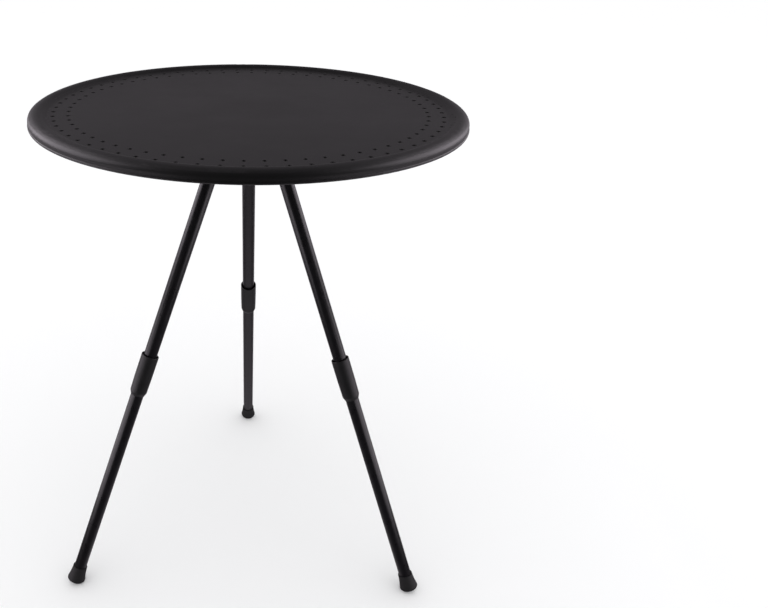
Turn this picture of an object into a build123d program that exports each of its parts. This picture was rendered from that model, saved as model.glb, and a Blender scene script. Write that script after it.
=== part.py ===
from build123d import *
import os
from math import atan, atan2, cos, degrees, radians, sin

# Round three-legged wine table: a pressed tray top, a three-socket hub and push-fit leg sections.
# Millimetres, +Z up. The origin is on the floor under the middle of the top, the back leg points to +Y.

# Overall sizes
TABLE_HEIGHT = 600.0    # floor to the crest of the rim
TOP_DIAMETER = 460.0    # over the rolled edge of the top
STANCE_RADIUS = 264.0   # middle of the table to where a leg's axis meets the floor
HUB_RADIUS = 20.5       # middle of the table to where a leg's axis meets the underside of the tray
LEG_AZIMUTHS = {"back": 90.0, "left": 210.0, "right": 330.0}

# Pressed top
SHEET = 1.5             # thickness of the sheet
RIM_RISE = 4.2          # crest of the rim above the tray
RISE_WIDTH = 11.0       # width of the double curve from the tray up to the crest
CREST_RADIUS = 14.0     # broad curve outside the crest
CREST_ANGLE = 35.0      # how far that curve turns down
SHOULDER_RADIUS = 5.0   # tighter curve that turns on into the upright skirt
SKIRT = 3.8             # straight height of the skirt above the middle of its bead
BEAD_RADIUS = 1.6       # rolled edge along the foot of the skirt
BEAD_PROUD = 0.6        # how far the bead stands out of the skirt's face

# Two rows of punched holes, one hole of each row on each spoke
HOLES_PER_ROW = 66
HOLE_DIAMETER = 5.0
ROW_INSET = 4.2         # foot of the rim to the middle of the outer row
ROW_SPACING = 15.4      # outer row to inner row

# Leg tubes
TUBE_DIAMETER = 16.0
TUBE_WALL = 1.2
TUBE_EDGE = 0.4         # broken outer edge at the tube's ends
SLIDE_FIT = 0.1         # gap all round a tube that pulls out by hand
BOND_FIT = 0.05         # gap all round a tube that stays in its socket

# Hub under the tray
FLANGE_DIAMETER = 100.0
FLANGE = 4.0            # flange thickness
FLANGE_EDGE = 1.2       # rounded lower edge of the flange
SOCKET_WALL = 3.0
SOCKET_FLOOR = 11.0     # underside of the tray to the end of the tube, along the leg
SOCKET_DEPTH = 25.0     # how much of the tube the socket holds
MOUTH = 1.2             # lead-in chamfer of a socket
WEB = 4.0               # thickness of the three webs that meet in the middle
WEB_DEPTH = 20.0        # height of the webs under the tray
WEB_REACH = 26.0        # how far out the webs' lower edge runs

# Studs welded under the tray, with a washer and a nut each
STUD_DIAMETER = 5.0
STUD_CIRCLE_RADIUS = 38.0   # circle that the studs stand on
STUD_END = 1.5          # stud left showing past the nut
STUD_GAP = 0.25         # gap round the stud in the flange
WASHER_DIAMETER = 10.0
WASHER = 1.0
WASHER_GAP = 0.15
NUT_WIDTH = 8.0         # across the flats
NUT = 4.7
NUT_GAP = 0.05

# Collar at the top of each lower section
COLLAR_WALL = 2.5
COLLAR_GRIP = 29.5      # length that holds the upper tube
COLLAR_STOP = 2.0       # ring between the ends of the two tubes
COLLAR_SHANK = 22.5     # length on the lower tube
COLLAR_TAPER = 0.3      # how much the shank narrows, on the radius
COLLAR_NOSE = 4.6       # length of the shank's sloping end
COLLAR_LIP = 0.5        # wall left at that end
COLLAR_BLEND = 5.0      # rounding where the slope begins
COLLAR_LEAD = 1.7       # width of the funnel at the mouth
COLLAR_LEAD_DEPTH = 3.2 # depth of that funnel
COLLAR_EDGE = 0.5       # rounded outer edge at the mouth

# Rubber feet
FOOT_RADIUS = 11.8      # widest radius
FOOT_EDGE = 3.0         # rounded edge round the foot's base
FOOT_BASE = 6.0         # rubber under the tube's end
FOOT_GRIP = 17.5        # length of tube that the foot covers
FOOT_WALL = 1.3         # wall at the foot's top
FOOT_WAIST = 0.45       # how far the foot's side curves in from a straight taper
FOOT_FLAT = 0.35        # how far the rubber has settled flat on the floor

# Worked out from the sizes above
TUBE_RADIUS = TUBE_DIAMETER / 2
TUBE_BORE = TUBE_RADIUS - TUBE_WALL
TRAY_TOP = TABLE_HEIGHT - RIM_RISE
UNDERSIDE = TRAY_TOP - SHEET
LEAN = atan2(STANCE_RADIUS - HUB_RADIUS, UNDERSIDE)
AXIS_LENGTH = UNDERSIDE / cos(LEAN)

OGEE_RADIUS = (RISE_WIDTH**2 + RIM_RISE**2) / (4 * RIM_RISE)
OGEE_ANGLE = degrees(2 * atan(RIM_RISE / RISE_WIDTH))
SHOULDER_REACH = (CREST_RADIUS - SHOULDER_RADIUS) * sin(radians(CREST_ANGLE)) + SHOULDER_RADIUS
SKIRT_RADIUS = TOP_DIAMETER / 2 - BEAD_PROUD
TRAY_RADIUS = SKIRT_RADIUS - SHOULDER_REACH - RISE_WIDTH

# Places along a leg's axis, from the underside of the tray down
SOCKET_MOUTH = SOCKET_FLOOR + SOCKET_DEPTH
FOOT_LIFT = FOOT_EDGE - FOOT_FLAT + (FOOT_RADIUS - FOOT_EDGE) * sin(LEAN)
FOOT_BOTTOM = AXIS_LENGTH - FOOT_LIFT / cos(LEAN) + FOOT_EDGE
LEG_END = FOOT_BOTTOM - FOOT_BASE
FOOT_TOP = LEG_END - FOOT_GRIP
TUBE_LENGTH = (LEG_END - SOCKET_FLOOR - COLLAR_STOP) / 2
STOP = SOCKET_FLOOR + TUBE_LENGTH
COLLAR_MOUTH = STOP - COLLAR_GRIP
SHANK_TOP = STOP + COLLAR_STOP
SHANK_END = SHANK_TOP + COLLAR_SHANK


def leg_plane(azimuth):
    """Plane on the tray's underside whose Z runs down a leg's axis."""
    out = Vector(cos(radians(azimuth)), sin(radians(azimuth)), 0)
    down = out * sin(LEAN) + Vector(0, 0, -cos(LEAN))
    start = out * HUB_RADIUS + Vector(0, 0, UNDERSIDE)
    return Plane(start, x_dir=Vector(0, 0, 1).cross(out), z_dir=down)


def turned(outline):
    """Solid turned about Z from a closed outline of (radius, height) lines."""
    return revolve(Plane.XZ * make_face(outline), Axis.Z)


def closed(*points):
    """Closed straight-sided outline through the points."""
    return Polyline(*points, close=True)


def section_line(depth):
    """The top's section from the middle out to its skirt, depth below the upper face."""
    tray = Line((0, TRAY_TOP - depth), (TRAY_RADIUS, TRAY_TOP - depth))
    heel = JernArc(tray @ 1, tray % 1, OGEE_RADIUS + depth, OGEE_ANGLE)
    brow = JernArc(heel @ 1, heel % 1, OGEE_RADIUS - depth, -OGEE_ANGLE)
    crest = JernArc(brow @ 1, brow % 1, CREST_RADIUS - depth, -CREST_ANGLE)
    shoulder = JernArc(crest @ 1, crest % 1, SHOULDER_RADIUS - depth, CREST_ANGLE - 90)
    skirt = Line(shoulder @ 1, (shoulder @ 1) - Vector(0, SKIRT))
    return [tray, heel, brow, crest, shoulder, skirt]


def table_top():
    """Pressed tray with its raised rim, beaded skirt and two rows of holes."""
    upper = section_line(0)
    lower = section_line(SHEET)
    ends = [Line(upper[0] @ 0, lower[0] @ 0), Line(upper[-1] @ 1, lower[-1] @ 1)]
    bead_middle = (upper[-1] @ 1) - Vector(BEAD_RADIUS - BEAD_PROUD, 0)
    section = make_face(upper + lower + ends) + Pos(bead_middle) * Circle(BEAD_RADIUS)
    outer_row = TRAY_RADIUS - ROW_INSET
    punches = Sketch()
    for row in (outer_row, outer_row - ROW_SPACING):
        punches += PolarLocations(row, HOLES_PER_ROW, start_angle=90) * Circle(HOLE_DIAMETER / 2)
    return revolve(Plane.XZ * section, Axis.Z) - extrude(Pos(0, 0, TRAY_TOP) * punches, SHEET, both=True)


def tube(start):
    """One length of leg tube from start down the leg's axis."""
    pipe = Pos(0, 0, start) * extrude(Circle(TUBE_RADIUS) - Circle(TUBE_BORE), TUBE_LENGTH)
    outer_edges = pipe.edges().filter_by(GeomType.CIRCLE).group_by(SortBy.RADIUS)[-1]
    return chamfer(outer_edges, TUBE_EDGE)


def socket_bore():
    """Space of one hub socket, with its lead-in, on the leg's axis."""
    bore = TUBE_RADIUS + SLIDE_FIT
    mouth = bore + MOUTH
    return turned(
        closed(
            (0, SOCKET_FLOOR), (bore, SOCKET_FLOOR), (bore, SOCKET_MOUTH - MOUTH), (mouth, SOCKET_MOUTH),
            (0, SOCKET_MOUTH),
        )
    )


def leg_hub(planes):
    """Moulded hub: a round flange, three leaning sockets and the webs between them."""
    flange_bottom = UNDERSIDE - FLANGE
    flange = Pos(0, 0, flange_bottom) * extrude(Circle(FLANGE_DIAMETER / 2), FLANGE)
    hub = fillet(flange.edges().group_by(Axis.Z)[0], FLANGE_EDGE)
    boss = extrude(Circle(TUBE_RADIUS + SLIDE_FIT + SOCKET_WALL), SOCKET_MOUTH)
    web_outline = closed(
        (0, flange_bottom), (FLANGE_DIAMETER / 2 - FLANGE_EDGE, flange_bottom),
        (WEB_REACH, UNDERSIDE - WEB_DEPTH), (0, UNDERSIDE - WEB_DEPTH),
    )
    web = extrude(Plane.XZ * make_face(web_outline), WEB / 2, both=True)
    for azimuth in LEG_AZIMUTHS.values():
        hub += Rot(0, 0, azimuth) * web
    for plane in planes:
        hub += plane * boss
    above = Pos(0, 0, UNDERSIDE) * extrude(Circle(FLANGE_DIAMETER), SOCKET_MOUTH)
    hub -= above
    for plane in planes:
        hub -= plane * socket_bore()
    for spot in stud_spots():
        hub -= spot * Pos(0, 0, -FLANGE) * extrude(Circle(STUD_DIAMETER / 2 + STUD_GAP), FLANGE)
    return hub


def stud_spots():
    """Places of the studs on the tray's underside, one between each pair of legs."""
    count = len(LEG_AZIMUTHS)
    first = LEG_AZIMUTHS["back"] + 180 / count
    return Pos(0, 0, UNDERSIDE) * PolarLocations(STUD_CIRCLE_RADIUS, count, start_angle=first)


def hub_fasteners():
    """The studs, washers and nuts that hold the hub, as three groups."""
    washer_bottom = -FLANGE - WASHER
    nut_bottom = washer_bottom - NUT
    stud_length = STUD_END - nut_bottom
    stud = Pos(0, 0, -stud_length) * extrude(Circle(STUD_DIAMETER / 2), stud_length)
    washer_ring = Circle(WASHER_DIAMETER / 2) - Circle(STUD_DIAMETER / 2 + WASHER_GAP)
    washer = Pos(0, 0, washer_bottom) * extrude(washer_ring, WASHER)
    hexagon = RegularPolygon(NUT_WIDTH / 2, 6, major_radius=False) - Circle(STUD_DIAMETER / 2 + NUT_GAP)
    bevel = Pos(0, 0, NUT / 2) * Cone(NUT_WIDTH / 2, NUT_WIDTH / 2 + NUT, NUT)
    nut = Pos(0, 0, nut_bottom) * (extrude(hexagon, NUT) & bevel)
    groups = {"weld_studs": stud, "hub_washers": washer, "hub_nuts": nut}
    return {name: Compound([spot * piece for spot in stud_spots()]) for name, piece in groups.items()}


def collar():
    """Sleeve that joins the two tubes of a leg, open upward."""
    outside = TUBE_RADIUS + SLIDE_FIT + COLLAR_WALL
    upper_bore = TUBE_RADIUS + SLIDE_FIT
    lower_bore = TUBE_RADIUS + BOND_FIT
    shank = outside - COLLAR_TAPER
    slope_start = SHANK_END - COLLAR_NOSE
    sleeve = turned(
        closed(
            (upper_bore + COLLAR_LEAD, COLLAR_MOUTH), (outside, COLLAR_MOUTH), (outside, STOP),
            (shank, slope_start), (lower_bore + COLLAR_LIP, SHANK_END), (lower_bore, SHANK_END),
            (lower_bore, SHANK_TOP), (TUBE_BORE, SHANK_TOP), (TUBE_BORE, STOP), (upper_bore, STOP),
            (upper_bore, COLLAR_MOUTH + COLLAR_LEAD_DEPTH),
        )
    )
    rings = sleeve.edges().filter_by(GeomType.CIRCLE)
    rim = rings.group_by(Axis.Z)[0].sort_by(SortBy.RADIUS)[-1]
    knee = rings.filter_by_position(Axis.Z, slope_start - COLLAR_EDGE, slope_start + COLLAR_EDGE)
    return fillet(knee, COLLAR_BLEND).fillet(COLLAR_EDGE, [rim])


def foot(plane):
    """Flared rubber foot pressed on a leg's end, settled flat on the floor."""
    bore = TUBE_RADIUS + BOND_FIT
    top = bore + FOOT_WALL
    widest = FOOT_BOTTOM - FOOT_EDGE
    waist = ((top + FOOT_RADIUS) / 2 - FOOT_WAIST, (FOOT_TOP + widest) / 2)
    side = ThreePointArc((top, FOOT_TOP), waist, (FOOT_RADIUS, widest))
    edge = CenterArc((FOOT_RADIUS - FOOT_EDGE, widest), FOOT_EDGE, 0, 90)
    inside = Polyline(
        edge @ 1, (0, FOOT_BOTTOM), (0, LEG_END), (bore, LEG_END), (bore, FOOT_TOP), (top, FOOT_TOP)
    )
    below_floor = Pos(0, 0, -FOOT_RADIUS) * extrude(Circle(2 * STANCE_RADIUS), FOOT_RADIUS)
    return plane * turned([side, edge, inside]) - below_floor


def build():
    """Every piece of the table by its name."""
    planes = {side: leg_plane(azimuth) for side, azimuth in LEG_AZIMUTHS.items()}
    pieces = {"table_top": table_top(), "leg_hub": leg_hub(list(planes.values()))}
    pieces |= hub_fasteners()
    for side, plane in planes.items():
        pieces[f"upper_tube_{side}"] = plane * tube(SOCKET_FLOOR)
        pieces[f"collar_{side}"] = plane * collar()
        pieces[f"lower_tube_{side}"] = plane * tube(SHANK_TOP)
        pieces[f"foot_{side}"] = foot(plane)
    return pieces


os.makedirs("parts", exist_ok=True)
for name, piece in build().items():
    export_step(piece, f"parts/{name}.step")
print(f"lean {degrees(LEAN):.3f} deg, tube length {TUBE_LENGTH:.2f}, tray radius {TRAY_RADIUS:.2f}")
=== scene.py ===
"""Looks of a round three-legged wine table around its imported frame.

The pressed tray top, the hub under it and the push-fit leg sections come from the frame and get their
finishes here. The studs under the tray are modelled anew with a real thread. Everything is in metres, with
+Z up, the floor at zero and the back leg towards +Y.
"""

import logging
import math
from dataclasses import dataclass, replace
from enum import Enum

import bpy
from mathutils import Matrix, Vector


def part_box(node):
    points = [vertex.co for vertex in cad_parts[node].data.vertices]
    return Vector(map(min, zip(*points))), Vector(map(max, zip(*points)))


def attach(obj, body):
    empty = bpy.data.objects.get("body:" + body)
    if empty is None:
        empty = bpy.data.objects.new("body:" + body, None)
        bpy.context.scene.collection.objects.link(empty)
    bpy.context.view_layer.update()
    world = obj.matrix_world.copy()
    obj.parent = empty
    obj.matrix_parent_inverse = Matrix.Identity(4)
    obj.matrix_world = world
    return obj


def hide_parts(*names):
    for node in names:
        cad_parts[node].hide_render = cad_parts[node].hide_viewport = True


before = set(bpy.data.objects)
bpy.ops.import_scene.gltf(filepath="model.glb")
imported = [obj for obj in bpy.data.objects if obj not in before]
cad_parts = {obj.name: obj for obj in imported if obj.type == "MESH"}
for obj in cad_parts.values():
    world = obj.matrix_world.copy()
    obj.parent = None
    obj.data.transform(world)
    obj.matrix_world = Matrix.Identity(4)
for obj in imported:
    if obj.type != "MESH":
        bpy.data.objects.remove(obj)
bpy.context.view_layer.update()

MM = 0.001
RIGHT_ANGLE = 90.0
log = logging.getLogger("wine_table")


class Side(Enum):
    """The three legs, with the compass angle of each in degrees from +X."""

    BACK = 90.0
    LEFT = 210.0
    RIGHT = 330.0

    @property
    def word(self) -> str:
        """The leg's word in the names of its nodes."""
        return self.name.lower()


def linear(code: str) -> tuple[float, float, float, float]:
    """Turns an sRGB hex colour into linear light.

    Args:
        code: Six hex digits after a hash sign.

    Returns:
        Red, green, blue and an alpha of one.
    """
    parts = [int(code[i:i + 2], 16) / 255 for i in (1, 3, 5)]
    red, green, blue = [p / 12.92 if p <= 0.04045 else ((p + 0.055) / 1.055) ** 2.4 for p in parts]
    return red, green, blue, 1.0


def add_node(tree: bpy.types.NodeTree, kind: str, settings: dict | None = None,
             values: dict | None = None, links: dict | None = None) -> bpy.types.Node:
    """Adds one node to a tree.

    Args:
        tree: Node tree that takes the node.
        kind: Blender's name for the node's type.
        settings: Properties of the node itself.
        values: Constant values by input name or number.
        links: Output sockets to plug in, by input name or number.

    Returns:
        The new node.
    """
    node = tree.nodes.new(kind)
    for name, value in (settings or {}).items():
        setattr(node, name, value)
    for name, value in (values or {}).items():
        node.inputs[name].default_value = value
    for name, socket in (links or {}).items():
        tree.links.new(socket, node.inputs[name])
    return node


def deselect_all() -> None:
    """Leaves edit mode and selects nothing."""
    if bpy.context.object and bpy.context.object.mode != "OBJECT":
        bpy.ops.object.mode_set(mode="OBJECT")
    bpy.ops.object.select_all(action="DESELECT")


@dataclass(frozen=True)
class Finish:
    """A surface finish whose colour, gloss and relief vary over the piece.

    Attributes:
        name: Name of the material.
        dark: Darker of the two colours that the surface drifts between.
        light: Lighter of the two.
        drift: Size in millimetres of the patches of colour and gloss.
        gloss: Roughness of the shiniest and of the dullest patches.
        grain: Size in millimetres of the relief.
        relief: Height in millimetres of the relief.
        specular: Strength of the surface's own reflection.
        metallic: One for bare metal.
        stretch: How much longer the pattern is along Z than across it.
        lean: Turn of the pattern about X in degrees, after which it turns by the compass angle.
        compass: Turn of the pattern about Z in degrees.
        spread: Noise values of the shiniest and of the dullest patches.
    """

    name: str
    dark: str
    light: str
    drift: float
    gloss: tuple[float, float]
    grain: float
    relief: float
    specular: float = 0.5
    metallic: float = 0.0
    stretch: float = 1.0
    lean: float = 0.0
    compass: float = 0.0
    spread: tuple[float, float] = (0.3, 0.7)

    def material(self) -> bpy.types.Material:
        """Makes the finish as a material.

        Returns:
            The material, with its nodes.
        """
        made = bpy.data.materials.new(self.name)
        made.use_nodes = True
        tree = made.node_tree
        tree.nodes.clear()
        where = add_node(tree, "ShaderNodeTexCoord")
        turn = add_node(
            tree, "ShaderNodeMapping", {"vector_type": "TEXTURE"},
            {"Rotation": (math.radians(self.lean), 0.0, math.radians(self.compass)),
             "Scale": (1.0, 1.0, self.stretch)},
            {"Vector": where.outputs["Object"]})
        patches = add_node(
            tree, "ShaderNodeTexNoise", None,
            {"Scale": 1 / (self.drift * MM), "Detail": 3.0, "Roughness": 0.55},
            {"Vector": turn.outputs["Vector"]})
        colour = add_node(
            tree, "ShaderNodeMix", {"data_type": "RGBA"},
            {6: linear(self.dark), 7: linear(self.light)},
            {0: patches.outputs["Fac"]})
        gloss = add_node(
            tree, "ShaderNodeMapRange", None,
            {"From Min": self.spread[0], "From Max": self.spread[1],
             "To Min": self.gloss[0], "To Max": self.gloss[1]},
            {"Value": patches.outputs["Fac"]})
        grain = add_node(
            tree, "ShaderNodeTexNoise", None,
            {"Scale": 1 / (self.grain * MM), "Detail": 2.0, "Roughness": 0.5},
            {"Vector": turn.outputs["Vector"]})
        bump = add_node(
            tree, "ShaderNodeBump", None, {"Strength": 1.0, "Distance": self.relief * MM},
            {"Height": grain.outputs["Fac"]})
        shader = add_node(
            tree, "ShaderNodeBsdfPrincipled", None,
            {"Metallic": self.metallic, "Specular IOR Level": self.specular},
            {"Base Color": colour.outputs[2], "Roughness": gloss.outputs["Result"],
             "Normal": bump.outputs["Normal"]})
        add_node(tree, "ShaderNodeOutputMaterial", None, None, {"Surface": shader.outputs["BSDF"]})
        return made


def dress(node: str, material: bpy.types.Material) -> None:
    """Gives a node of the frame its material.

    Args:
        node: Name of the node.
        material: What it is dressed in.
    """
    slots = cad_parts[node].material_slots
    for slot in slots:
        slot.material = material
    if not slots:
        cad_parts[node].data.materials.append(material)
    log.info("%s dressed in %s", node, material.name)


# Polyester powder coat, sprayed on pressed sheet and baked: dull satin black with a faint sandy grain, so that
# it takes a broad soft sheen and no clear reflection. The real grain is about a third of a millimetre, and is
# drawn coarser so that it shows.
SATIN_POWDER_COAT = Finish(
    "satin_powder_coat_on_sheet", dark="#0A090B", light="#0D0C0E", drift=70.0, gloss=(0.45, 0.49),
    grain=0.9, relief=0.022, specular=0.40)
# Drawn tube under a thin gloss powder: a sharper streak of light down each side than on the sheet, broken a
# little by lines that run along the tube. They are drawn coarser than real ones so that they show.
GLOSS_POWDER_COAT = Finish(
    "powder_coat_on_tube", dark="#0D0B0F", light="#121014", drift=6.0, gloss=(0.26, 0.34),
    grain=1.6, relief=0.010, specular=0.40, stretch=14.0)
# Glass-filled nylon, moulded in a spark-eroded tool: dull black with a fine even grain, drawn coarser than the
# tenth or two of a millimetre of a real one so that it shows.
MOULDED_NYLON = Finish(
    "spark_textured_nylon", dark="#101012", light="#161517", drift=16.0, gloss=(0.42, 0.52),
    grain=0.6, relief=0.026, specular=0.35)
# Vulcanised rubber: soft charcoal with a little bloom and no clear highlight. Its grain too is drawn coarse.
MOULDED_RUBBER = Finish(
    "moulded_rubber", dark="#151416", light="#1C1B1D", drift=9.0, gloss=(0.60, 0.72),
    grain=0.7, relief=0.028, specular=0.35)
# Zinc plate over cold-headed steel: bright grey metal with a slightly uneven passivated bloom.
ZINC_PLATED_STEEL = Finish(
    "zinc_plated_steel", dark="#9FA3A8", light="#C3C4C2", drift=2.5, gloss=(0.24, 0.36),
    grain=0.5, relief=0.004, metallic=1.0)


@dataclass(frozen=True)
class TrayTop:
    """The pressed round top: tray, raised rim, beaded skirt and two rows of holes."""

    node: str = "table_top"

    def dress(self) -> None:
        """Gives the pressing its powder coat."""
        dress(self.node, SATIN_POWDER_COAT.material())


@dataclass(frozen=True)
class ThreadedStuds:
    """The three studs under the tray, each with a rolled thread and a chamfered end.

    Attributes:
        node: Node that the studs stand for.
        circle: Radius in millimetres of the circle that they stand on.
        first: Compass angle of the first stud in degrees.
        count: Number of studs.
        major: Diameter over the thread's crests in millimetres.
        minor: Diameter at the thread's roots in millimetres.
        pitch: Height of one turn in millimetres.
        chamfer: Broken edge at the free end in millimetres.
        facets: Number of sides round a stud.
        crease: Angle in degrees past which an edge stays sharp.
    """

    node: str = "weld_studs"
    circle: float = 38.0
    first: float = 30.0
    count: int = 3
    major: float = 5.0
    minor: float = 4.1
    pitch: float = 0.8
    chamfer: float = 0.6
    facets: int = 20
    crease: float = 35.0

    def build(self, material: bpy.types.Material) -> bpy.types.Object:
        """Models the studs in place of the plain ones.

        Args:
            material: What they are dressed in.

        Returns:
            One object with all the studs.
        """
        low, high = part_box(self.node)
        length = high[2] - low[2]
        blank = self.turn_blank(length)
        studs = self.roll_thread(length)
        trim = studs.modifiers.new("trim", "BOOLEAN")
        trim.operation = "INTERSECT"
        trim.object = blank
        bpy.ops.object.modifier_apply(modifier=trim.name)
        bpy.data.objects.remove(blank)
        angle = math.radians(self.first)
        reach = self.circle * MM
        bpy.ops.object.mode_set(mode="EDIT")
        bpy.ops.mesh.select_all(action="SELECT")
        bpy.ops.transform.translate(value=(reach * math.cos(angle), reach * math.sin(angle), low[2]))
        bpy.ops.mesh.spin(steps=self.count - 1, dupli=True, angle=math.tau * (1 - 1 / self.count),
                          center=(0.0, 0.0, 0.0), axis=(0.0, 0.0, 1.0))
        bpy.ops.mesh.select_all(action="SELECT")
        bpy.ops.mesh.normals_make_consistent(inside=False)
        bpy.ops.object.mode_set(mode="OBJECT")
        bpy.ops.object.shade_smooth_by_angle(angle=math.radians(self.crease))
        studs.name = "threaded_studs"
        studs.data.materials.clear()
        studs.data.materials.append(material)
        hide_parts(self.node)
        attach(studs, "top")
        log.info("%s modelled with %d faces", studs.name, len(studs.data.polygons))
        return studs

    def turn_blank(self, length: float) -> bpy.types.Object:
        """Makes the rod that a thread is rolled on, chamfered at its lower end.

        Args:
            length: Length in metres, up from the origin.

        Returns:
            The rod.
        """
        deselect_all()
        bpy.ops.mesh.primitive_cylinder_add(
            vertices=self.facets, radius=self.major / 2 * MM, depth=length, location=(0.0, 0.0, length / 2))
        rod = bpy.context.object
        bpy.ops.object.transform_apply(location=True, rotation=True, scale=True)
        bevel = rod.modifiers.new("chamfer", "BEVEL")
        bevel.width = self.chamfer * MM
        bevel.segments = 1
        bevel.limit_method = "ANGLE"
        bpy.ops.object.modifier_apply(modifier=bevel.name)
        return rod

    def roll_thread(self, length: float) -> bpy.types.Object:
        """Makes a thread that is longer than the stud by a turn at each end.

        Args:
            length: Length of the stud in metres.

        Returns:
            The thread, about the Z axis.
        """
        deselect_all()
        depth = (self.major - self.minor) / 4
        bpy.ops.mesh.primitive_circle_add(
            vertices=self.facets, radius=(self.major / 2 - depth) * MM,
            location=(depth * MM, 0.0, -self.pitch * MM))
        thread = bpy.context.object
        bpy.ops.object.transform_apply(location=True, rotation=True, scale=True)
        screw = thread.modifiers.new("thread", "SCREW")
        screw.axis = "Z"
        screw.angle = math.tau
        screw.screw_offset = self.pitch * MM
        screw.iterations = math.ceil(length / (self.pitch * MM)) + 2
        screw.steps = self.facets
        screw.render_steps = self.facets
        bpy.ops.object.modifier_apply(modifier=screw.name)
        bpy.ops.object.mode_set(mode="EDIT")
        bpy.ops.mesh.select_all(action="DESELECT")
        bpy.ops.mesh.select_non_manifold()
        bpy.ops.mesh.fill_holes(sides=0)
        bpy.ops.mesh.select_all(action="SELECT")
        bpy.ops.mesh.normals_make_consistent(inside=False)
        bpy.ops.object.mode_set(mode="OBJECT")
        return thread


@dataclass(frozen=True)
class HubMount:
    """The moulded hub with the studs, washers and nuts that hold it under the tray."""

    hub: str = "leg_hub"
    fasteners: tuple[str, ...] = ("hub_washers", "hub_nuts")

    def dress(self, nylon: bpy.types.Material) -> None:
        """Gives the hub its nylon and the fasteners their zinc.

        Args:
            nylon: Material of the hub.
        """
        dress(self.hub, nylon)
        zinc = ZINC_PLATED_STEEL.material()
        for node in self.fasteners:
            dress(node, zinc)
        ThreadedStuds().build(zinc)


@dataclass(frozen=True)
class Leg:
    """One leg: upper tube, collar, lower tube and rubber foot.

    Attributes:
        side: Which leg it is.
        lean: Angle of the leg from upright in degrees.
    """

    side: Side
    lean: float = 22.280

    def tube_finish(self) -> Finish:
        """The tubes' powder coat, with its faint lines along this leg."""
        return replace(GLOSS_POWDER_COAT, name=f"powder_coat_on_{self.side.word}_tube",
                       lean=self.lean, compass=self.side.value + RIGHT_ANGLE)

    def dress(self, nylon: bpy.types.Material, rubber: bpy.types.Material) -> None:
        """Gives each piece of the leg its finish.

        Args:
            nylon: Material of the collar.
            rubber: Material of the foot.
        """
        tube = self.tube_finish().material()
        dress(f"upper_tube_{self.side.word}", tube)
        dress(f"lower_tube_{self.side.word}", tube)
        dress(f"collar_{self.side.word}", nylon)
        dress(f"foot_{self.side.word}", rubber)


@dataclass(frozen=True)
class PhotoCamera:
    """A camera that stands where the photograph was taken from.

    Attributes:
        image: Width and height of the picture in pixels.
        focal: Focal length in pixels.
        centre: Pixel where the optical axis meets the picture.
        aim: Height in metres of the point on the table's axis that the camera looks at.
        distance: Distance of the camera from that point in metres.
        elevation: Angle of the camera above that point in degrees.
        compass: Turn of the camera about the table's axis in degrees.
        roll: Turn of the camera about its own axis in degrees.
        sensor: Width of the sensor in millimetres.
        nearest: Distance in metres from which things are drawn.
    """

    image: tuple[int, int] = (768, 608)
    focal: float = 733.86
    centre: tuple[float, float] = (245.7, 386.0)
    aim: float = 0.23902
    distance: float = 0.98092
    elevation: float = 33.725
    compass: float = 1.081
    roll: float = 0.568
    sensor: float = 36.0
    nearest: float = 0.01

    def build(self) -> None:
        """Makes the camera the scene's own."""
        wide, high = self.image
        data = bpy.data.cameras.new("photo_camera")
        data.sensor_width = self.sensor
        data.lens = self.focal * self.sensor / wide
        data.shift_x = (wide / 2 - self.centre[0]) / wide
        data.shift_y = (self.centre[1] - high / 2) / wide
        data.clip_start = self.nearest
        camera = bpy.data.objects.new("photo_camera", data)
        bpy.context.scene.collection.objects.link(camera)
        camera.matrix_world = (
            Matrix.Translation((0.0, 0.0, self.aim))
            @ Matrix.Rotation(math.radians(self.compass), 4, "Z")
            @ Matrix.Rotation(math.radians(RIGHT_ANGLE - self.elevation), 4, "X")
            @ Matrix.Translation((0.0, 0.0, self.distance))
            @ Matrix.Rotation(math.radians(self.roll), 4, "Z"))
        bpy.context.scene.camera = camera


@dataclass(frozen=True)
class SoftBox:
    """A rectangular studio light.

    Attributes:
        name: Name of the light.
        place: Middle of the light in metres.
        size: Width and height in metres.
        power: Power in watts.
        colour: Colour of the light.
        aim: Point that it faces.
    """

    name: str
    place: tuple[float, float, float]
    size: tuple[float, float]
    power: float
    colour: str = "#FFF6FF"
    aim: tuple[float, float, float] = (0.0, 0.0, 0.35)

    def build(self) -> None:
        """Hangs the light and keeps it out of the picture."""
        data = bpy.data.lights.new(self.name, "AREA")
        data.shape = "RECTANGLE"
        data.size, data.size_y = self.size
        data.energy = self.power
        data.color = linear(self.colour)[:3]
        light = bpy.data.objects.new(self.name, data)
        bpy.context.scene.collection.objects.link(light)
        facing = (Vector(self.aim) - Vector(self.place)).to_track_quat("-Z", "Y")
        light.matrix_world = Matrix.Translation(self.place) @ facing.to_matrix().to_4x4()
        light.visible_camera = False
        light.visible_diffuse = False


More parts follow.
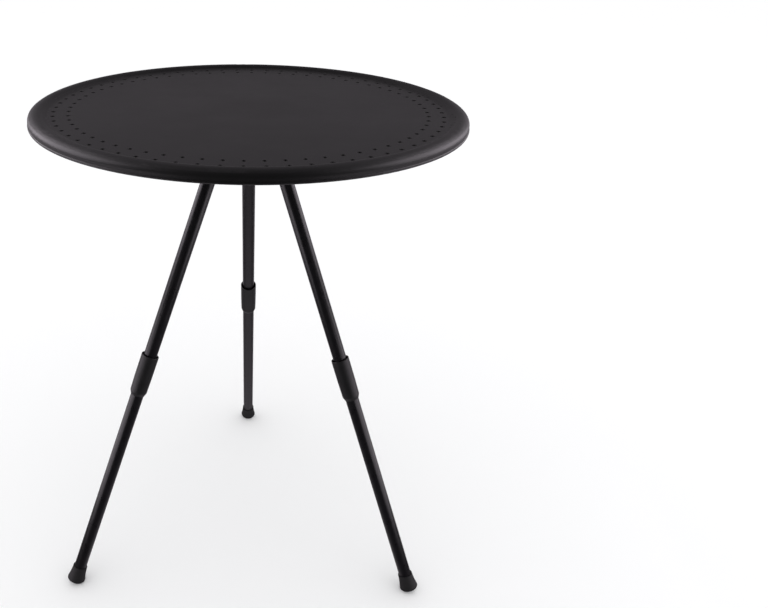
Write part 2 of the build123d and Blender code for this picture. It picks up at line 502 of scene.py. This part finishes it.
@dataclass(frozen=True)
class Studio:
    """Pale floor, soft boxes and low strips at both sides, and even light from all round.

    Each band gives where a brightness starts and ends, as a height or a depth on a ball of radius one.

    Attributes:
        floor_radius: Radius of the floor in metres.
        floor_facets: Number of sides round the floor.
        floor_colour: Colour of the floor.
        floor_dullness: Roughness of the floor.
        floor_specular: Strength of the floor's own reflection.
        air: Strength of the even light.
        air_colour: Colour of the even light.
        tint: Colour that the room has in the table's gloss.
        room: How bright the room round the table looks in its gloss.
        paper: How bright the floor straight below looks in its gloss.
        paper_band: Heights between which the floor below fades into the room.
        ground: How bright the floor behind looks in its gloss.
        ground_band: Depths between which the room fades into the floor behind.
        sweep: How bright the backdrop behind looks in its gloss.
        sweep_band: Depths between which the room fades into the backdrop.
        horizon_band: Heights between which the floor behind fades into the backdrop.
        boxes: The soft boxes and strips.
    """

    floor_radius: float = 30.0
    floor_facets: int = 96
    floor_colour: str = "#F4F4F5"
    floor_dullness: float = 0.9
    floor_specular: float = 0.1
    air: float = 1.14
    air_colour: str = "#FFFFFF"
    tint: str = "#FFF6FF"
    room: float = 0.02
    paper: float = 0.60
    paper_band: tuple[float, float] = (-0.95, -0.62)
    ground: float = 0.50
    ground_band: tuple[float, float] = (0.10, 0.80)
    sweep: float = 0.29
    sweep_band: tuple[float, float] = (0.05, 0.65)
    horizon_band: tuple[float, float] = (-0.15, 0.05)
    boxes: tuple[SoftBox, ...] = (
        SoftBox("left_box", (-1.5, 0.40, 1.20), (2.0, 1.4), 28.0, aim=(0.0, 0.3, 0.9)),
        SoftBox("right_box", (1.5, 0.40, 1.20), (2.0, 1.4), 27.0, aim=(0.0, 0.3, 0.9)),
        SoftBox("left_strip", (-0.64, -0.32, 0.19), (0.9, 0.36), 2.3, aim=(0.0, -0.32, 0.19)),
        SoftBox("right_strip", (0.64, -0.32, 0.19), (0.9, 0.36), 2.0, aim=(0.0, -0.32, 0.19)),
    )

    def build(self) -> None:
        """Sets out the floor and the light."""
        self.lay_floor()
        self.light_air()
        for box in self.boxes:
            box.build()
        bpy.context.scene.view_settings.view_transform = "Standard"

    def lay_floor(self) -> None:
        """Lays a round floor at the feet, clear from below and not seen in the table's gloss."""
        deselect_all()
        bpy.ops.mesh.primitive_circle_add(
            vertices=self.floor_facets, radius=self.floor_radius, fill_type="NGON")
        floor = bpy.context.object
        floor.name = "studio_floor"
        paint = bpy.data.materials.new("pale_paper")
        paint.use_nodes = True
        tree = paint.node_tree
        tree.nodes.clear()
        face = add_node(
            tree, "ShaderNodeBsdfPrincipled", None,
            {"Base Color": linear(self.floor_colour), "Roughness": self.floor_dullness,
             "Specular IOR Level": self.floor_specular})
        side = add_node(tree, "ShaderNodeNewGeometry")
        clear = add_node(tree, "ShaderNodeBsdfTransparent")
        sheet = add_node(
            tree, "ShaderNodeMixShader", None, None,
            {0: side.outputs["Backfacing"], 1: face.outputs["BSDF"], 2: clear.outputs["BSDF"]})
        add_node(tree, "ShaderNodeOutputMaterial", None, None, {"Surface": sheet.outputs["Shader"]})
        floor.data.materials.append(paint)
        floor.visible_glossy = False

    def light_air(self) -> None:
        """Lights the scene evenly from all round, with a darker room in the reflections."""
        world = bpy.data.worlds.new("studio_air")
        bpy.context.scene.world = world
        # Sampled as a light, the world would be asked for its brightness without the kind of ray, and the gloss
        # would get the even light.
        world.cycles.sampling_method = "NONE"
        world.use_nodes = True
        tree = world.node_tree
        tree.nodes.clear()
        where = add_node(tree, "ShaderNodeTexCoord")
        heading = add_node(tree, "ShaderNodeSeparateXYZ", None, None, {"Vector": where.outputs["Generated"]})
        below, beside, behind = [
            add_node(
                tree, "ShaderNodeMapRange", {"interpolation_type": "SMOOTHSTEP"},
                {"From Min": band[0], "From Max": band[1], "To Min": start, "To Max": end},
                {"Value": heading.outputs[axis]}).outputs["Result"]
            for axis, band, start, end in (
                ("Z", self.paper_band, self.paper, self.room),
                ("Y", self.ground_band, self.room, self.ground),
                ("Y", self.sweep_band, self.room, self.sweep))]
        horizon = add_node(
            tree, "ShaderNodeMapRange", {"interpolation_type": "SMOOTHSTEP"},
            {"From Min": self.horizon_band[0], "From Max": self.horizon_band[1]},
            {"Value": heading.outputs["Z"], "To Min": beside, "To Max": behind})
        mirrored = add_node(
            tree, "ShaderNodeMath", {"operation": "MAXIMUM"}, None,
            {0: below, 1: horizon.outputs["Result"]})
        even = add_node(
            tree, "ShaderNodeBackground", None, {"Color": linear(self.air_colour), "Strength": self.air})
        seen = add_node(
            tree, "ShaderNodeBackground", None, {"Color": linear(self.tint)},
            {"Strength": mirrored.outputs["Value"]})
        ray = add_node(tree, "ShaderNodeLightPath")
        sky = add_node(
            tree, "ShaderNodeMixShader", None, None,
            {0: ray.outputs["Is Glossy Ray"], 1: even.outputs["Background"], 2: seen.outputs["Background"]})
        add_node(tree, "ShaderNodeOutputWorld", None, None, {"Surface": sky.outputs["Shader"]})


def main() -> None:
    """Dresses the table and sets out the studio."""
    logging.basicConfig(level=logging.INFO)
    deselect_all()
    nylon = MOULDED_NYLON.material()
    rubber = MOULDED_RUBBER.material()
    TrayTop().dress()
    HubMount().dress(nylon)
    for side in Side:
        Leg(side).dress(nylon, rubber)
    PhotoCamera().build()
    Studio().build()


if __name__ == "__main__":
    main()
